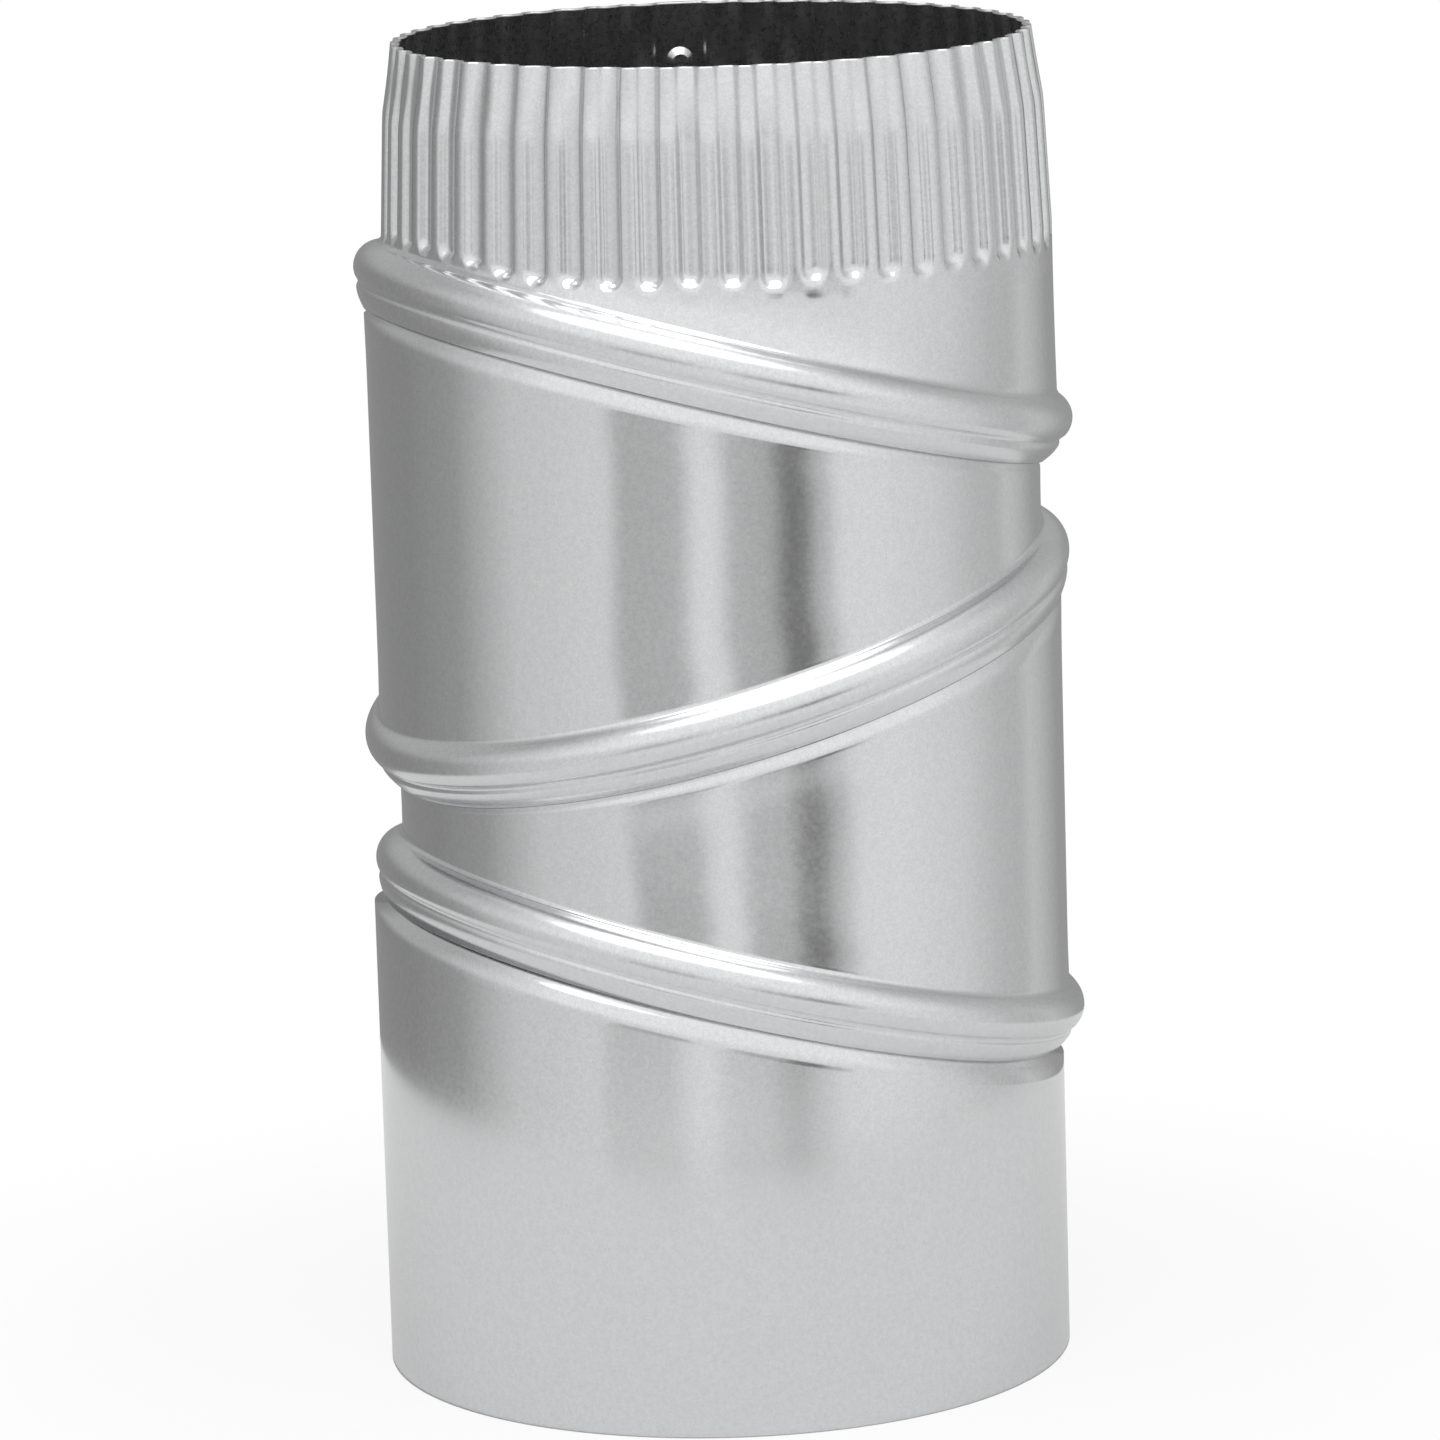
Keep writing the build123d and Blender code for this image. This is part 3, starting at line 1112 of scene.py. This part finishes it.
@dataclass(frozen=True)
class Studio:
    """Floor, surroundings, lamp and camera. Rises are the heights of directions, from -1 to 1."""

    camera_turn: float = math.radians(15.62)
    camera_distance: float = 1084.3 * MM
    camera_height: float = 310.5 * MM
    camera_pitch: float = math.radians(11.19)
    camera_yaw: float = math.radians(0.06)
    camera_roll: float = math.radians(-1.71)
    camera_lens: float = 185.0
    camera_sensor: float = 36.0
    floor_radius: float = 215.0 * MM
    floor_segments: int = 96
    floor_colour: Colour = (0.8, 0.8, 0.8)
    floor_rough: float = 0.9
    floor_glow: float = 0.85
    shadow_span: Span = (75.0 * MM, 185.0 * MM)
    lamp_power: float = 4.7
    lamp_width: float = 1.5
    lamp_depth: float = 0.8
    lamp_place: tuple[float, float, float] = (-0.15, -0.45, 1.3)
    lamp_aim: tuple[float, float, float] = (0.0, 0.0, 0.1)
    streak_lean: float = -1.6
    streak_level: float = -0.178
    streak_bend: float = -0.16
    streak_foot: Span = (-0.257, -0.222)
    streak_head: Span = (-0.025, -0.055)
    ceiling_rise: Span = (0.02, 0.35)
    zenith_rise: Span = (0.75, 0.97)
    zenith: float = 1.0
    walls: Screens = Screens(
        (
            (-180, 0.30),
            (-125, 0.30),
            (-98, 0.38),
            (-72, 0.72),
            (-35, 0.84),
            (0, 0.92),
            (60, 0.90),
            (85, 0.80),
            (105, 0.62),
            (118, 0.58),
            (126, 0.68),
            (134, 0.60),
            (142, 0.50),
            (152, 0.38),
        )
    )
    streaks: Screens = Screens(
        (
            (-37, 1.0),
            (-33, 0.62),
            (-12, 0.62),
            (-7, 1.0),
            (1, 1.0),
            (6, 0.62),
            (20, 0.56),
            (25, 0.22),
            (32, 0.22),
            (36, 0.6),
            (40, 0.68),
            (45, 1.0),
        )
    )
    ceiling: Screens = Screens(((-180, 0.5), (-110, 0.5), (-50, 1.05), (60, 1.05), (110, 0.62), (150, 0.5)))

    def floor_finish(self) -> bpy.types.Material:
        """Make the floor's pale finish, which the camera sees fade to white past the part's shadow.

        Returns:
            The floor's material.
        """
        material = bpy.data.materials.new("pale_floor")
        material.use_nodes = True
        wiring = Wiring(material.node_tree)
        nodes = wiring.tree.nodes
        shader = nodes["Principled BSDF"]
        shader.inputs["Base Color"].default_value = (*self.floor_colour, 1.0)
        shader.inputs["Roughness"].default_value = self.floor_rough
        shader.inputs["Specular IOR Level"].default_value = 0.0
        place = nodes.new("ShaderNodeTexCoord")
        away = nodes.new("ShaderNodeVectorMath")
        away.operation = "LENGTH"
        wiring.feed(place.outputs["Object"], away.inputs[0])
        spread = wiring.remap(away.outputs["Value"], self.shadow_span, (self.floor_glow, 1.0), eased=True)
        path = nodes.new("ShaderNodeLightPath")
        share = wiring.combine(Sum.MULTIPLY, path.outputs[CAMERA_RAY], spread)
        glow = nodes.new("ShaderNodeEmission")
        mix = nodes.new("ShaderNodeMixShader")
        for source, target in zip((share, shader.outputs["BSDF"], glow.outputs["Emission"]), mix.inputs):
            wiring.feed(source, target)
        wiring.feed(mix.outputs["Shader"], nodes["Material Output"].inputs["Surface"])
        return material

    def lay_floor(self) -> None:
        """Lay the pale round table that the part stands on."""
        mesh = bpy.data.meshes.new("floor")
        table = bmesh.new()
        bmesh.ops.create_circle(
            table, cap_ends=True, segments=self.floor_segments, radius=self.floor_radius
        )
        table.to_mesh(mesh)
        table.free()
        mesh.materials.append(self.floor_finish())
        floor = bpy.data.objects.new("floor", mesh)
        bpy.context.scene.collection.objects.link(floor)

    def screen_round(self, wiring: Wiring, bearing: Socket, screens: Screens) -> Socket:
        """Set up a round of screens.

        Args:
            wiring: The world's nodes.
            bearing: The bearing of a ray, from minus pi to pi.
            screens: The screens.

        Returns:
            The socket of their brightness.
        """
        levels = wiring.tree.nodes.new("ShaderNodeValToRGB")
        screens.fill(levels.color_ramp, math.degrees(math.pi / 2 + self.camera_turn))
        wiring.feed(wiring.remap(bearing, (-math.pi, math.pi)), levels.inputs["Fac"])
        return levels.outputs["Color"]

    def streak_shade(self, wiring: Wiring, bearing: Socket, rise: Socket) -> Socket:
        """Set up how far the streaks dim the walls: in a low band, below whose bend they lean.

        Args:
            wiring: The world's nodes.
            bearing: The bearing of a ray.
            rise: The rise of a ray.

        Returns:
            The socket of the share of light that is left.
        """
        bent = wiring.combine(Sum.LEAST, rise, self.streak_bend)
        upright = self.streak_lean * -self.streak_level
        lean = wiring.combine(Sum.MULTIPLY_ADD, bent, self.streak_lean, upright)
        streaks = self.screen_round(wiring, wiring.combine(Sum.ADD, bearing, lean), self.streaks)
        above_foot = wiring.remap(rise, self.streak_foot, eased=True)
        below_head = wiring.remap(rise, self.streak_head, eased=True)
        band = wiring.combine(Sum.MULTIPLY, above_foot, below_head)
        gap = wiring.combine(Sum.SUBTRACT, streaks, 1.0)
        return wiring.combine(Sum.ADD, wiring.combine(Sum.MULTIPLY, gap, band), 1.0)

    def surround(self) -> None:
        """Light the part from a room of pale screens, with white behind it."""
        world = bpy.data.worlds.new("studio")
        bpy.context.scene.world = world
        world.use_nodes = True
        wiring = Wiring(world.node_tree)
        nodes = wiring.tree.nodes
        place = nodes.new("ShaderNodeTexCoord")
        split = nodes.new("ShaderNodeSeparateXYZ")
        wiring.feed(place.outputs["Generated"], split.inputs["Vector"])
        rise = split.outputs["Z"]
        bearing = wiring.combine(Sum.BEARING, split.outputs["Y"], split.outputs["X"])

        shade = self.streak_shade(wiring, bearing, rise)
        walls = wiring.combine(Sum.MULTIPLY, self.screen_round(wiring, bearing, self.walls), shade)
        ceiling = self.screen_round(wiring, bearing, self.ceiling)
        ceiling = wiring.blend(wiring.remap(rise, self.zenith_rise, eased=True), ceiling, self.zenith)
        room = wiring.blend(wiring.remap(rise, self.ceiling_rise, eased=True), walls, ceiling)
        path = nodes.new("ShaderNodeLightPath")
        seen = wiring.blend(path.outputs[CAMERA_RAY], room, 1.0)
        wiring.feed(seen, nodes["Background"].inputs["Color"])

    def hang_lamp(self) -> None:
        """Hang the soft lamp over the part, a little towards the camera."""
        light = bpy.data.lights.new("overhead", "AREA")
        light.shape = "ELLIPSE"
        light.size = self.lamp_width
        light.size_y = self.lamp_depth
        light.energy = self.lamp_power
        lamp = bpy.data.objects.new("overhead", light)
        lamp.location = self.lamp_place
        aim = Vector(self.lamp_aim) - lamp.location
        lamp.rotation_euler = aim.to_track_quat("-Z", "Y").to_euler()
        bpy.context.scene.collection.objects.link(lamp)

    def place_camera(self) -> None:
        """Set the camera where the photograph was taken from."""
        lens = bpy.data.cameras.new("camera")
        lens.lens = self.camera_lens
        lens.sensor_width = self.camera_sensor
        camera = bpy.data.objects.new("camera", lens)
        turn = Matrix.Rotation(-self.camera_turn, 4, "Z")
        spot = turn @ Vector((0.0, -self.camera_distance, self.camera_height))
        look = Matrix.Rotation(-self.camera_turn - self.camera_yaw, 4, "Z")
        look @= Matrix.Rotation(math.pi / 2 - self.camera_pitch, 4, "X")
        look @= Matrix.Rotation(self.camera_roll, 4, "Z")
        camera.matrix_world = Matrix.Translation(spot) @ look
        bpy.context.scene.collection.objects.link(camera)
        bpy.context.scene.camera = camera

    def build(self) -> None:
        """Set the whole studio up."""
        self.lay_floor()
        self.surround()
        self.hang_lamp()
        self.place_camera()
        bpy.context.scene.view_settings.view_transform = "Standard"


def main() -> None:
    """Build the gores from the bottom up, dress the rivet and set the studio."""
    logging.basicConfig(level=logging.INFO, format="%(name)s %(message)s")
    sizes = SheetSizes()
    # The second finish, for the inside faces, is the same zinc darkened as painted shade.
    finishes = (BRIGHT_ZINC.material(), PAINTED_SHADE_ZINC.material())
    lower, middle, upper = (SwivelBead(joint, sizes) for joint in frame["joints"])
    rim_height = CAD_BOX[1][2]
    gores = (
        PlainEnd("plain_end_gore", "plain_end", sizes, finishes, top=lower),
        MiddleGore("lower_middle_gore", "lower_middle", sizes, finishes, bottom=lower, top=middle),
        MiddleGore("upper_middle_gore", "upper_middle", sizes, finishes, bottom=middle, top=upper),
        CrimpedEnd("crimped_end_gore", "crimped_end", sizes, finishes, bottom=upper, rim_height=rim_height),
    )
    for gore in gores:
        gore.build()
    SeamRivet("seam_rivet", RIVET_ZINC.material()).dress()
    Studio().build()


if __name__ == "__main__":
    main()
